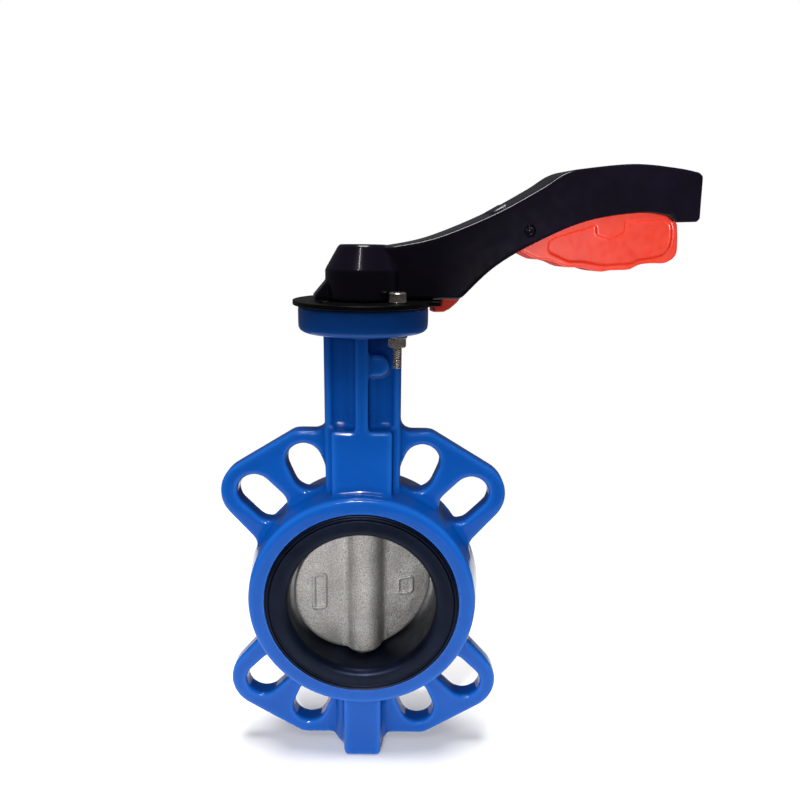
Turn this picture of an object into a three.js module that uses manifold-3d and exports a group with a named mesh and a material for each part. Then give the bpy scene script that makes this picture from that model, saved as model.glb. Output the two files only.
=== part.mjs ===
// Wafer butterfly valve, 3 inch (DN80), with a squeeze-grip lever.
// Millimetres. Z is the stem axis, Y the pipe axis, and the origin is the centre of the bore.
// The disc and the lever stand 15 degrees open; the lever points along +X when the valve is shut.
import * as THREE from 'three';
import { mergeVertices } from 'three/addons/utils/BufferGeometryUtils.js';
import Module from 'manifold-3d';

const wasm = await Module();
wasm.setup();

// Fit between neighbouring pieces
const GAP = 0.3;

// Body ring and seat
const FACE = 23;              // half the 46 mm length between the pipe flanges
const RING_R = 61.5;          // at the two pipe faces
const RING_WAIST = { r: 65, y: -2.2 };   // where the mould parts, in line with the wings
const BODY_BORE_R = 46.5;
const LIP_R = 52.5;           // outer edge of the rubber lip
const LIP_SEAT_Y = 20.5;      // depth at which the lip is let into the ring face
const SEAT_FACE = 24.5;       // the lip stands 1.5 mm proud of the ring
const SEAT_BORE_R = 39.9;
const LIP_ROUND = 4.6;

// Lug wings and bolt slots
const LUG_Y = [-7.7, 3.3];
const UPPER_LUG = { top: 93.2, x: 59.4, z: 57.9, r: 17.9 };
const LOWER_LUG = { top: 93.8, x: 57.2, z: 57.9, r: 19.5 };
const LOBE_OUT = 58.3;        // direction of the long edge's normal, degrees
const LOBE_IN = -41.2;        // direction of the normal of the edge that runs back to the ring
const SLOT_HALF = 9.5;
const SLOTS = [{ angle: 22.5, from: 74.6, to: 82.8 }, { angle: 45, from: 71.8, to: 82.8 }];

// Neck, top flange (ISO 5211 F05) and bottom boss
const NECK = { half: 20, web: 8, plate: 3.8, plateY: 10.5, rib: 3.3, front: 18.5, tube: 11.5 };
const PAD = { half: 15.8, top: 96 };
const FLANGE_R = 33.5;
const FLANGE_Z = [146, 159.4];
const FLANGE_ROUND = 2.8;
const BOLT_CIRCLE = 50;
const BOLT_HOLE_R = 3.5;
const BOSS_R = 17;
const BOSS_X = -1.4;          // the round boss is cast a little to the left of the stem
const BOTTOM_Z = -100.4;

// Stem and its bearings
const STEM_R = 6.35;
const STEM_HOLE_R = STEM_R + GAP;
const STEM_TOP = 186.5;
const SQUARE = 4.75;          // half the square that drives the lever
const FLAT = 4.8;             // half the width over the flats that drive the disc
const BUSH_R = 8.5;
const TOP_BUSH_R = 9;

// Disc
const DISC_R = 39.6;
const HUB_R = 10.8;
const HUB_END = 38.9;
const DISC_FACE = 3.4;

// Index plate
const PLATE_Z = [159.6, 161.8];
const PLATE_R = 36.1;
const SECTOR_R = 40.2;
const NOTCH_R = 36.2;
const NOTCH_HALF = 2.6;
const NOTCH_STEP = 15;
const SCREW = { head: 4.25, headHigh: 5, socket: 4, shank: 2.45, end: 129.6 };
const WASHER = { r: 5, high: 1 };
const NUT = { flats: 8, high: 4.5, turned: 16 };
const FIXING_HOLE_R = 2.8;

// Lever, in its own frame: x along the arm
const REST_ANGLE = 15;
const ARM_HALF = 11;
const WALL = 2.8;
const LEVER_Z = 162.1;
const HUB_TOP = 189.4;
const PIVOT = { x: 86, z: 197 };
const PIN_R = 3;
const GRIP_HALF = 7.5;
const LATCH_HALF = 4.5;
const TOOTH = { x: [36.6, 43.7], z: [155, 162.3], half: 2.2 };
const SPRING = { x: 118, from: 209.4, to: 225.8, r: 4, wire: 0.6, turns: 5.5 };

const rad = THREE.MathUtils.degToRad;

// ---------------------------------------------------------------- solids

// Turns a closed three.js geometry into a solid that can be joined and cut.
function solid(geometry) {
  const bare = geometry.clone();
  bare.deleteAttribute('normal');
  bare.deleteAttribute('uv');
  const merged = mergeVertices(bare, 1e-4);
  const points = merged.attributes.position;
  const corner = [0, 1, 2].map(() => new THREE.Vector3());
  const triangles = [];
  let volume = 0;
  for (let i = 0; i < merged.index.count; i += 3) {
    const abc = [0, 1, 2].map((k) => merged.index.getX(i + k));
    if (new Set(abc).size < 3) continue;
    triangles.push(...abc);
    abc.forEach((v, k) => corner[k].fromBufferAttribute(points, v));
    volume += corner[0].dot(corner[1].cross(corner[2]));
  }
  if (volume < 0) triangles.reverse();
  return new wasm.Manifold(new wasm.Mesh({
    numProp: 3,
    vertProperties: Float32Array.from(points.array),
    triVerts: Uint32Array.from(triangles),
  }));
}

function joined(...solids) {
  return solids.reduce((all, next) => all.add(next));
}

function without(body, ...cuts) {
  return cuts.reduce((left, cut) => left.subtract(cut), body);
}

function block(x0, x1, y0, y1, z0, z1) {
  const box = new THREE.BoxGeometry(x1 - x0, y1 - y0, z1 - z0);
  return solid(box.translate((x0 + x1) / 2, (y0 + y1) / 2, (z0 + z1) / 2));
}

// A round bar along Z.
function rodZ(r, z0, z1, x = 0, y = 0, sides = 24) {
  const bar = new THREE.CylinderGeometry(r, r, z1 - z0, sides).rotateX(Math.PI / 2);
  return solid(bar.translate(x, y, (z0 + z1) / 2));
}

// A round bar along Y.
function rodY(r, y0, y1, x, z, sides = 20) {
  const bar = new THREE.CylinderGeometry(r, r, y1 - y0, sides);
  return solid(bar.translate(x, (y0 + y1) / 2, z));
}

// A hexagonal bar along Z, across flats.
function hexZ(flats, z0, z1, x, y, turn = 0) {
  const bar = new THREE.CylinderGeometry(flats / Math.sqrt(3), flats / Math.sqrt(3), z1 - z0, 6);
  bar.rotateX(Math.PI / 2).rotateZ(turn);
  return solid(bar.translate(x, y, (z0 + z1) / 2));
}

const vectors = (pairs) => pairs.map(([a, b]) => new THREE.Vector2(a, b));

function turnedZ(profile, sides = 48) {
  return solid(new THREE.LatheGeometry(vectors(profile), sides).rotateX(Math.PI / 2));
}

function turnedY(profile, sides = 60) {
  return solid(new THREE.LatheGeometry(vectors(profile), sides));
}

// A plain ring around the Z axis.
function sleeve(inner, outer, z0, z1, sides = 24) {
  return turnedZ([[inner, z0], [outer, z0], [outer, z1], [inner, z1], [inner, z0]], sides);
}

function extruded(outline, length, edge, steps) {
  const shape = outline instanceof THREE.Shape ? outline : new THREE.Shape(vectors(outline));
  return new THREE.ExtrudeGeometry(shape, {
    depth: length - 2 * edge,
    bevelEnabled: edge > 0,
    bevelThickness: edge,
    bevelSize: edge,
    bevelOffset: -edge,
    bevelSegments: steps,
    curveSegments: 6,
  });
}

// An outline in (x, z) carried along Y, or in (x, y) carried along Z, with rounded edges.
function prismY(outline, y0, y1, edge = 0, steps = 1) {
  const bar = extruded(outline, y1 - y0, edge, steps).rotateX(Math.PI / 2);
  return solid(bar.translate(0, y1 - edge, 0));
}

function prismZ(outline, z0, z1, edge = 0, steps = 1) {
  return solid(extruded(outline, z1 - z0, edge, steps).translate(0, 0, z0 + edge));
}

// Points along an arc, angles in degrees.
function arc(x, y, r, from, to, steps) {
  return Array.from({ length: steps + 1 }, (_, i) => {
    const a = rad(from + ((to - from) * i) / steps);
    return [x + r * Math.cos(a), y + r * Math.sin(a)];
  });
}

function curve(points, steps) {
  return new THREE.SplineCurve(vectors(points)).getPoints(steps).map((p) => [p.x, p.y]);
}

function slotShape({ angle, from, to }, half) {
  const heading = rad(90 - angle);
  const shape = new THREE.Shape();
  const end = (r, side) => shape.absarc(
    r * Math.cos(heading), r * Math.sin(heading), half,
    heading - (side * Math.PI) / 2, heading + (side * Math.PI) / 2 + (side < 0 ? 2 * Math.PI : 0), false);
  end(to, 1);
  end(from, -1);
  return shape;
}

// ---------------------------------------------------------------- assembly

const group = new THREE.Group();
const turning = new THREE.Group();
turning.rotation.z = rad(REST_ANGLE);
group.add(turning);

function place(parent, name, body, [color, roughness, metalness]) {
  const result = body.getMesh();
  const geometry = new THREE.BufferGeometry();
  geometry.setAttribute('position', new THREE.BufferAttribute(result.vertProperties, 3));
  geometry.setIndex(new THREE.BufferAttribute(result.triVerts, 1));
  geometry.computeVertexNormals();
  const mesh = new THREE.Mesh(geometry, new THREE.MeshStandardMaterial({ color, roughness, metalness }));
  mesh.name = name;
  parent.add(mesh);
}

const BLUE_EPOXY = [0x1250ae, 0.35, 0];
const BLACK_RUBBER = [0x1b1d26, 0.6, 0];
const CAST_STAINLESS = [0xa8a49e, 0.55, 1];
const TURNED_STAINLESS = [0xc4c4c2, 0.3, 1];
const PLATED_STEEL = [0xb9b4aa, 0.35, 1];
const BLACK_PAINT = [0x0c0c0e, 0.25, 0];
const RED_NYLON = [0xff4a30, 0.45, 0];
const BRONZE = [0x9a7440, 0.45, 1];
const SPRING_STEEL = [0x8d8d8b, 0.4, 1];

// ---------------------------------------------------------------- body casting

// Edge of one right-hand wing, from its straight side round the lobe and back to the ring.
function wingEdge({ top, x, z, r }) {
  const corner = 8;
  const out = rad(LOBE_OUT);
  const inward = rad(LOBE_IN);
  const reach = x * Math.cos(out) + z * Math.sin(out) + r;
  const cornerX = (reach - corner - Math.sin(out) * (top - corner)) / Math.cos(out);
  const toRing = x * Math.cos(inward) + z * Math.sin(inward) + r + corner;
  const along = Math.sqrt((RING_WAIST.r - 1 + corner) ** 2 - toRing ** 2);
  const fillet = {
    x: toRing * Math.cos(inward) - along * Math.sin(inward),
    z: toRing * Math.sin(inward) + along * Math.cos(inward),
  };
  const towardRing = 180 + THREE.MathUtils.radToDeg(Math.atan2(fillet.z, fillet.x));
  return [
    ...arc(cornerX, top - corner, corner, 90, LOBE_OUT, 3),
    ...arc(x, z, r, LOBE_OUT, LOBE_IN, 8),
    ...arc(fillet.x, fillet.z, corner, 180 + LOBE_IN, towardRing, 4),
  ];
}

function wings() {
  const neckRound = 5.5;
  const neckCurve = arc(NECK.half + neckRound, UPPER_LUG.top + neckRound, neckRound, 180, 270, 3);
  const upper = [...neckCurve, ...wingEdge(UPPER_LUG)];
  const lower = wingEdge(LOWER_LUG).reverse().map(([x, z]) => [x, -z]);
  const right = [...upper, ...lower];
  const left = [...right].reverse().map(([x, z]) => [-x, z]);
  const plate = prismY([...right, ...left], ...LUG_Y, 1.2);
  const slots = [];
  for (const slot of SLOTS) {
    for (const angle of [slot.angle, -slot.angle, 180 - slot.angle, 180 + slot.angle]) {
      slots.push(prismY(slotShape({ ...slot, angle }, SLOT_HALF), -FACE, FACE));
    }
  }
  return [plate, slots];
}

// The neck is a stem tube inside a cross of webs, with a solid pad where it meets the ring.
function neck() {
  const [bottom, top] = [50, FLANGE_Z[0] + 1];
  const { half, web, plate, plateY, rib, front, tube } = NECK;
  const parts = [
    rodZ(tube, bottom, top),
    block(-half, half, -web, web, bottom, top),
    block(-rib, rib, -front, front, bottom, top),
    block(-half, -half + plate, -plateY, plateY, bottom, top),
    block(half - plate, half, -plateY, plateY, bottom, top),
    prismZ(roundedBox(PAD.half, front, 2), bottom, PAD.top, 1.2),
  ];
  const bossRound = 5.7;
  const boss = [...arc(8.3, 130, bossRound, -90, 90, 8), [0, 130 + bossRound], [0, 130 - bossRound]];
  return joined(...parts, prismY(boss, -16.8, 0, 0.8));
}

function roundedBox(x, y, r) {
  return [
    ...arc(x - r, y - r, r, 0, 90, 3), ...arc(r - x, y - r, r, 90, 180, 3),
    ...arc(r - x, r - y, r, 180, 270, 3), ...arc(x - r, r - y, r, 270, 360, 3),
  ];
}

function bottomBoss() {
  const top = -50;
  const foot = [
    ...arc(8.1, BOTTOM_Z + 2.5, 2.5, 0, -90, 4), ...arc(-8.1, BOTTOM_Z + 2.5, 2.5, -90, -180, 4),
    [-10.6, top], [10.6, top],
  ];
  return joined(
    turnedZ([
      [0, top], [BOSS_R, top], [BOSS_R, -93.5], [15.5, -97.5], [12, BOTTOM_Z], [0, BOTTOM_Z],
    ]).translate([BOSS_X, 0, 0]),
    prismY(foot, -NECK.front, NECK.front, 1));
}

function body() {
  const ring = turnedY([
    [0, -FACE], [RING_R - 0.8, -FACE], [RING_R, 0.8 - FACE], [RING_WAIST.r, RING_WAIST.y],
    [RING_R, FACE - 0.8], [RING_R - 0.8, FACE], [0, FACE]]);
  const topFlange = turnedZ([
    [0, FLANGE_Z[0]],
    ...arc(FLANGE_R - FLANGE_ROUND, FLANGE_Z[0] + FLANGE_ROUND, FLANGE_ROUND, -90, 0, 5),
    [FLANGE_R, FLANGE_Z[1] - 0.6], [FLANGE_R - 0.6, FLANGE_Z[1]], [0, FLANGE_Z[1]]]);
  const [plate, slots] = wings();
  const seatRoom = turnedY([
    [0, -30], [LIP_R + GAP, -30], [LIP_R + GAP, -LIP_SEAT_Y], [BODY_BORE_R, -LIP_SEAT_Y],
    [BODY_BORE_R, LIP_SEAT_Y], [LIP_R + GAP, LIP_SEAT_Y], [LIP_R + GAP, 30], [0, 30]]);
  const bores = [
    rodZ(STEM_HOLE_R + GAP, 40, 170),
    rodZ(TOP_BUSH_R + GAP, 139.7, 170),
    rodZ(BUSH_R + GAP, 40, 60.3),
    rodZ(STEM_HOLE_R + GAP, -84, -40),
    rodZ(BUSH_R + GAP, -60.3, -40),
  ];
  const at = BOLT_CIRCLE / 2 * Math.SQRT1_2;
  for (const [sx, sy] of [[1, 1], [1, -1], [-1, 1], [-1, -1]]) {
    bores.push(rodZ(BOLT_HOLE_R, 140, 165, sx * at, sy * at, 16));
  }
  const casting = joined(without(joined(plate, ring), ...slots), neck(), topFlange, bottomBoss());
  return without(casting, seatRoom, ...bores);
}

// ---------------------------------------------------------------- seat and bearings

function seat() {
  const back = LIP_SEAT_Y + GAP;
  const half = [
    [BODY_BORE_R - GAP, back], [LIP_R, back], [LIP_R, SEAT_FACE - 0.7], [LIP_R - 0.7, SEAT_FACE],
    ...arc(SEAT_BORE_R + LIP_ROUND, SEAT_FACE - LIP_ROUND, LIP_ROUND, 90, 180, 4),
  ];
  const other = [...half].reverse().map(([r, y]) => [r, -y]);
  const liner = turnedY([...half, ...other, half[0]]);
  return without(liner, rodZ(STEM_HOLE_R, -60, 60));
}

function oRing(radius, section, z) {
  return turnedZ([...arc(radius, z, section, 0, 360, 6)], 24);
}

// ---------------------------------------------------------------- disc and stems

// Section of the hub barrel with a soft fillet down to each disc face.
function hubSection() {
  const fillet = 5;
  const level = DISC_FACE + fillet;
  const x = Math.sqrt((HUB_R + fillet) ** 2 - level ** 2);
  const lift = THREE.MathUtils.radToDeg(Math.atan2(level, x));
  const quarter = [...arc(x, level, fillet, 270, 180 + lift, 4), ...arc(0, 0, HUB_R, lift, 90, 5)];
  const front = [...quarter, ...[...quarter].reverse().slice(1).map(([a, b]) => [-a, b])];
  return [...front, ...[...front].reverse().map(([a, b]) => [a, -b])];
}

function disc() {
  const edge = [[37.5, 2.6], [38.8, 2.2], [39.4, 1.4], [DISC_R, 0.6]];
  const plate = turnedY([
    [0, -DISC_FACE], [30, -DISC_FACE + 0.1], ...edge.map(([r, y]) => [r, -y]),
    ...[...edge].reverse(), [30, DISC_FACE - 0.1], [0, DISC_FACE]]);
  const endRound = [[7, HUB_END], [9.4, HUB_END - 0.7], [10.8, HUB_END - 2.4], [15, HUB_END - 3.6]];
  const envelope = turnedZ([
    [0, HUB_END], ...endRound, ...[...endRound].reverse().map(([r, z]) => [r, -z]), [0, -HUB_END]], 32);
  const barrel = prismZ(hubSection(), -HUB_END - 1, HUB_END + 1).intersect(envelope);
  const ends = [rodZ(9, HUB_END, 45), rodZ(9, -45, -HUB_END)];
  const driveHole = rodZ(STEM_HOLE_R, 8.7, 30.3)
    .intersect(block(-10, 10, -FLAT - GAP, FLAT + GAP, 0, 40));
  return without(
    joined(plate, barrel), ...ends, driveHole,
    rodZ(STEM_HOLE_R, 30, 45), rodZ(STEM_HOLE_R, -45, -11.7));
}

function upperStem() {
  const round = rodZ(STEM_R, 30, 161.5);
  const drive = rodZ(STEM_R, 9, 31).intersect(block(-10, 10, -FLAT, FLAT, 0, 40));
  const square = rodZ(STEM_R, 160, STEM_TOP).intersect(block(-SQUARE, SQUARE, -SQUARE, SQUARE, 150, 200));
  return joined(round, drive, square);
}

// ---------------------------------------------------------------- index plate and fasteners

function notchPlate() {
  const [sectorFrom, sectorTo] = [-14, 104];
  const spread = (r) => THREE.MathUtils.radToDeg(Math.asin(NOTCH_HALF / r));
  const rim = arc(0, 0, PLATE_R, sectorTo, sectorFrom + 360, 40);
  let from = sectorFrom;
  for (let at = 0; at <= 90; at += NOTCH_STEP) {
    rim.push(...arc(0, 0, SECTOR_R, from, at - spread(SECTOR_R), 3));
    rim.push(...arc(0, 0, NOTCH_R, at - spread(NOTCH_R), at + spread(NOTCH_R), 1));
    from = at + spread(SECTOR_R);
  }
  rim.push(...arc(0, 0, SECTOR_R, from, sectorTo, 3));
  const centreHole = STEM_R + 2;
  const holes = [rodZ(centreHole, 155, 165)];
  const at = BOLT_CIRCLE / 2 * Math.SQRT1_2;
  for (const [sx, sy] of [[1, 1], [1, -1], [-1, 1], [-1, -1]]) {
    holes.push(rodZ(BOLT_HOLE_R, 155, 165, sx * at, sy * at, 20));
  }
  return without(prismZ(rim, ...PLATE_Z), ...holes);
}

// M5 socket head screw, plain washer and nut at one corner of the bolt circle.
function plateFixing(corner, sx, sy) {
  const at = BOLT_CIRCLE / 2 * Math.SQRT1_2;
  const [x, y] = [sx * at, sy * at];
  const clearance = 0.2;
  const headFrom = PLATE_Z[1] + clearance;
  const headTo = headFrom + SCREW.headHigh;
  const head = without(
    rodZ(SCREW.head, headFrom, headTo, x, y), hexZ(SCREW.socket, headTo - 2.5, headTo + 2, x, y));
  const shank = rodZ(SCREW.shank, SCREW.end, headFrom + 1, x, y, 16);
  place(group, `plate_screw_${corner}`, joined(head, shank), PLATED_STEEL);
  const hole = rodZ(FIXING_HOLE_R, 130, 150, x, y, 16);
  const washerTo = FLANGE_Z[0] - clearance;
  const washer = rodZ(WASHER.r, washerTo - WASHER.high, washerTo, x, y);
  place(group, `plate_washer_${corner}`, without(washer, hole), PLATED_STEEL);
  const nutTo = washerTo - WASHER.high - clearance;
  const nut = hexZ(NUT.flats, nutTo - NUT.high, nutTo, x, y, rad(NUT.turned));
  place(group, `plate_nut_${corner}`, without(nut, hole), PLATED_STEEL);
}

// ---------------------------------------------------------------- lever and trigger

// Upper edge of the arm from the hub to the grip end.
const ARM_TOP = curve([
  [13.3, 188.9], [35.7, 193.5], [65.8, 205.2], [91.2, 218.4], [104.6, 226.4],
  [117, 229.2], [146, 232.4], [172, 231.2], [185.5, 229.4]], 24);

function leverHandle() {
  const under = curve([
    [168.7, 206.2], [150.4, 207.3], [118.5, 202.2], [88.4, 190.1], [67.3, 178.2], [50.7, 163.4]], 14);
  const armShape = [
    [0, HUB_TOP - 0.6], ...ARM_TOP, [188, 227.5], [189, 205], [187.5, 203.2], [173.1, 203.1],
    ...under, [48.4, LEVER_Z], [0, LEVER_Z]];
  const arm = prismY(armShape, -ARM_HALF, ARM_HALF, 2, 2);
  const roof = ARM_TOP.filter(([x]) => x > 28 && x < 183).map(([x, z]) => [x, z - WALL]);
  const hollow = prismY([
    [24, 150], [24, 187], ...roof, [184.5, 224], [184.5, 195], [189, 150]],
    WALL - ARM_HALF, ARM_HALF - WALL);
  const hub = turnedZ([
    [0, LEVER_Z], [19.4, LEVER_Z], [19.4, 177], [12.9, 188.3], [11.8, HUB_TOP], [0, HUB_TOP]], 40);
  const tail = prismY([
    [-14, LEVER_Z], [-25.4, LEVER_Z], [-25.4, 164.6], [-19, 172], [-14, 172]], -4.5, 4.5, 0.8);
  const stopPad = prismY([[66, 203], [66.2, 206.2], [74.4, 210.6], [76, 208]], -5, 5);
  const bore = SQUARE + GAP;
  return without(
    joined(without(arm, hollow), hub, tail, stopPad),
    block(-bore, bore, -bore, bore, 150, 200),
    rodZ(7.4, 187, 200),
    rodY(PIN_R + GAP, -20, 20, PIVOT.x, PIVOT.z),
    rodY(3.15, 3, 25, 0, 175));
}

function trigger() {
  const fingers = curve([
    [83.7, 186.6], [88.1, 184.5], [93.3, 182.5], [98.5, 182.1], [103.7, 180.9], [107.6, 179.3],
    [111.4, 178.3], [116.7, 178.3], [122, 177.8], [126.7, 176.6], [132.2, 175.9], [137.5, 176.6],
    [148.5, 177], [152.3, 178.4], [156.1, 179.8], [162.4, 180.5], [170.5, 180.5], [174.4, 181.7],
    [177.4, 183.8], [178.8, 187.3], [178.2, 195.5]], 40);
  const grip = [
    ...fingers, [177.2, 201.5], [175.6, 204.2], [172, 206.5], [150, 210], [120, 209], [100, 207], [88, 205.6],
    ...arc(PIVOT.x, PIVOT.z, 8.6, 90, 190, 5)];
  const latch = [
    [90, 205], [81.5, 204], [64, 190.5], [52, 181.5], [44.5, 172.5], [41.8, 166],
    [SECTOR_R + 0.9, TOOTH.z[1] + GAP], [TOOTH.x[1] + GAP, TOOTH.z[1] + GAP], [TOOTH.x[1] + GAP, 155.9],
    [45.6, 156.6], [48.3, 158.8], [50.1, 160.4], [53, 165], [59, 174.2], [68, 181.8], [80, 189.4]];
  const panel = curve([
    [98.8, 188.1], [100.5, 185.8], [104.5, 184.2], [111.5, 181.6], [122, 181], [132.5, 179.4],
    [141, 179.8], [149.2, 180.3], [155.3, 182.4], [160, 182.9], [169.4, 185], [173.3, 189.3],
    [174.3, 194.7]], 26);
  const tab = [[143.8, 203], [144, 197.4], [138.4, 194.2], [134.6, 193.8], [127.3, 195.7], [126.5, 200.4]];
  const recess = [
    ...panel, [173.8, 199.5], [172.5, 202.5], [168.7, 203.4], ...tab,
    [113.9, 197], [102.4, 193.6], [99.3, 191.3]];
  const sunk = GRIP_HALF - 1.2;
  const sides = [prismY(recess, sunk, GRIP_HALF + 1), prismY(recess, -GRIP_HALF - 1, -sunk)];
  const hollowed = without(prismY(grip, -GRIP_HALF, GRIP_HALF, 1.2), ...sides);
  return without(
    joined(hollowed, prismY(latch, -LATCH_HALF, LATCH_HALF)),
    rodY(PIN_R + GAP, -20, 20, PIVOT.x, PIVOT.z));
}

// End of the latch: a foot under the index plate, a post outside its rim, and the tooth
// that stands up into a notch.
function latchTooth() {
  const [from, to] = TOOTH.x;
  const [low, high] = TOOTH.z;
  const underPlate = PLATE_Z[0] - GAP;
  const foot = [
    [from + 0.3, low], [to - 1.5, low], [to, low + 0.6], [to, underPlate], [from + 0.3, underPlate]];
  return joined(
    prismY(foot, -LATCH_HALF, LATCH_HALF),
    block(SECTOR_R + 0.9, to, -LATCH_HALF, LATCH_HALF, low + 1, high),
    block(from, to, -TOOTH.half, TOOTH.half, low + 1, high));
}

class Helix extends THREE.Curve {
  getPoint(t, target = new THREE.Vector3()) {
    const a = 2 * Math.PI * SPRING.turns * t;
    return target.set(
      SPRING.x + SPRING.r * Math.cos(a), SPRING.r * Math.sin(a),
      SPRING.from + SPRING.wire + (SPRING.to - SPRING.from - 2 * SPRING.wire) * t);
  }
}

function spring() {
  const section = new THREE.Shape(vectors(arc(0, 0, SPRING.wire, 0, 288, 4)));
  return solid(new THREE.ExtrudeGeometry(section, {
    steps: Math.round(SPRING.turns * 10), extrudePath: new Helix(), bevelEnabled: false,
  }));
}

function setScrew() {
  const socket = new THREE.CylinderGeometry(1.7, 1.7, 6, 6).translate(0, 17, 175);
  return without(rodY(2.85, 5.4, 16, 0, 175), solid(socket));
}

// ---------------------------------------------------------------- the pieces

place(group, 'valve_body', body(), BLUE_EPOXY);
place(group, 'seat_liner', seat(), BLACK_RUBBER);
place(group, 'upper_bush', sleeve(STEM_HOLE_R, TOP_BUSH_R, 140, 153.5), BRONZE);
place(group, 'middle_bush', sleeve(STEM_HOLE_R, BUSH_R, 47, 60), BRONZE);
place(group, 'lower_bush', sleeve(STEM_HOLE_R, BUSH_R, -60, -47), BRONZE);
place(group, 'stem_oring', oRing(7.85, 1.1, 155), BLACK_RUBBER);
place(group, 'stem_circlip', sleeve(STEM_HOLE_R, TOP_BUSH_R, 156.5, 157.7), SPRING_STEEL);
place(group, 'notch_plate', notchPlate(), BLACK_PAINT);
plateFixing('front', 1, -1);
plateFixing('rear', -1, 1);

place(turning, 'disc', disc(), CAST_STAINLESS);
place(turning, 'upper_stem', upperStem(), TURNED_STAINLESS);
place(turning, 'lower_stem', rodZ(STEM_R, -82, -12), TURNED_STAINLESS);
place(turning, 'lever_handle', leverHandle(), BLACK_PAINT);
place(turning, 'lever_set_screw', setScrew(), SPRING_STEEL);
place(turning, 'trigger_pin', rodY(PIN_R, 0.6 - ARM_HALF, ARM_HALF - 0.6, PIVOT.x, PIVOT.z), BLACK_PAINT);
place(turning, 'trigger_lever', trigger(), RED_NYLON);
place(turning, 'latch_tooth', latchTooth(), RED_NYLON);
place(turning, 'trigger_spring', spring(), SPRING_STEEL);

export default group;
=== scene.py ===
import math

import bmesh
import bpy
from mathutils import Matrix, Vector
from mathutils.geometry import tessellate_polygon


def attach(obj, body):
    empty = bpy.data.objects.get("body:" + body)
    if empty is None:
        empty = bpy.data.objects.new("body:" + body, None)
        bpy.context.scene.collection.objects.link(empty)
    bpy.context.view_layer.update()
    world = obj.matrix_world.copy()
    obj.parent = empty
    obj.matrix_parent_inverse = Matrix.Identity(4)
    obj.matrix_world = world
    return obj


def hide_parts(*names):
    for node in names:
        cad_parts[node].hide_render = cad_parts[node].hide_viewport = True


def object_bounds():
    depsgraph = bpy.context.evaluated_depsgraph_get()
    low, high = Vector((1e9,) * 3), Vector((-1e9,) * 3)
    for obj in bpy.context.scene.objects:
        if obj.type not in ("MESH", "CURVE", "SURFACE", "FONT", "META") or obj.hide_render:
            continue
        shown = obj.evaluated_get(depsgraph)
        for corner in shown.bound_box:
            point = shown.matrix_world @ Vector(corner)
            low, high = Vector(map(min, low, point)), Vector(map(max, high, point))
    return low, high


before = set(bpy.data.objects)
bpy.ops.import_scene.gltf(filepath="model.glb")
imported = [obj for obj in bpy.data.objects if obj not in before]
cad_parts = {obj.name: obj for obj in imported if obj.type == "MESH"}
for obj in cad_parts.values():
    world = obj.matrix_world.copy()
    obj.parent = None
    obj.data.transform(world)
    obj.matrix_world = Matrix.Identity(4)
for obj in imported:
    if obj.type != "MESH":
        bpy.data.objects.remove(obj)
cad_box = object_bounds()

scene = bpy.context.scene
scene.view_settings.view_transform = "Standard"
MM = 0.001

# ---------------------------------------------------------------- camera
# A short lens close to the valve, a little above the lever, looking slightly down.
EYE = Vector((19.15, -342.73, 193.69)) * MM
YAW, PITCH, ROLL = (math.radians(a) for a in (0.05, 13.92, 0.70))
LENS = 29.77

ahead = Vector((math.sin(YAW) * math.cos(PITCH), math.cos(YAW) * math.cos(PITCH), -math.sin(PITCH)))
right = Vector((math.cos(YAW), -math.sin(YAW), 0))
above = right.cross(ahead)
rolled_right = right * math.cos(ROLL) + above * math.sin(ROLL)
rolled_above = above * math.cos(ROLL) - right * math.sin(ROLL)

camera = bpy.data.objects.new("camera", bpy.data.cameras.new("camera"))
camera.data.lens = LENS
camera.data.sensor_width = 36
camera.data.clip_start = 0.01
turn = Matrix((rolled_right, rolled_above, -ahead)).transposed()
camera.matrix_world = Matrix.Translation(EYE) @ turn.to_4x4()
scene.collection.objects.link(camera)
scene.camera = camera


# ---------------------------------------------------------------- body casting
# Ductile iron, sand cast in one piece: ring, neck, mounting flange, bolt lugs and bottom boss.
# Every cast corner is round; the seat bore, the stem bores and the bolt holes are machined after.
def new_object(name, mesh):
    """Links a mesh made in millimetres, in place, as an object at the origin."""
    mesh.name = name
    piece = bpy.data.objects.new(name, mesh)
    scene.collection.objects.link(piece)
    return piece


def baked(piece):
    """The piece's mesh with its modifiers or curve settings worked out."""
    bpy.context.view_layer.update()
    ready = piece.evaluated_get(bpy.context.evaluated_depsgraph_get())
    mesh = bpy.data.meshes.new_from_object(ready)
    bpy.data.objects.remove(piece)
    return mesh


def turned(profile, axis="Z", steps=192, ripple=None):
    """A closed profile of (radius, height) spun around an axis through the origin."""
    bm = bmesh.new()
    rings = []
    for r, h in profile:
        if r < 1e-6:
            rings.append([bm.verts.new((0, 0, h))] * steps)
            continue
        ring = []
        for s in range(steps):
            a = 2 * math.pi * s / steps
            reach = r + (ripple(a, r, h) if ripple else 0)
            ring.append(bm.verts.new((reach * math.cos(a), reach * math.sin(a), h)))
        rings.append(ring)
    for one, two in zip(rings, rings[1:] + rings[:1]):
        for s in range(steps):
            t = (s + 1) % steps
            corners = list(dict.fromkeys((one[s], one[t], two[t], two[s])))
            if len(corners) > 2:
                bm.faces.new(corners)
    if axis == "Y":
        bm.transform(Matrix.Rotation(math.radians(90), 4, "X"))
    bmesh.ops.recalc_face_normals(bm, faces=bm.faces)
    mesh = bpy.data.meshes.new("turned")
    bm.to_mesh(mesh)
    bm.free()
    return mesh


def moved(mesh, x=0, y=0, z=0):
    mesh.transform(Matrix.Translation((x, y, z)))
    return mesh


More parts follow.
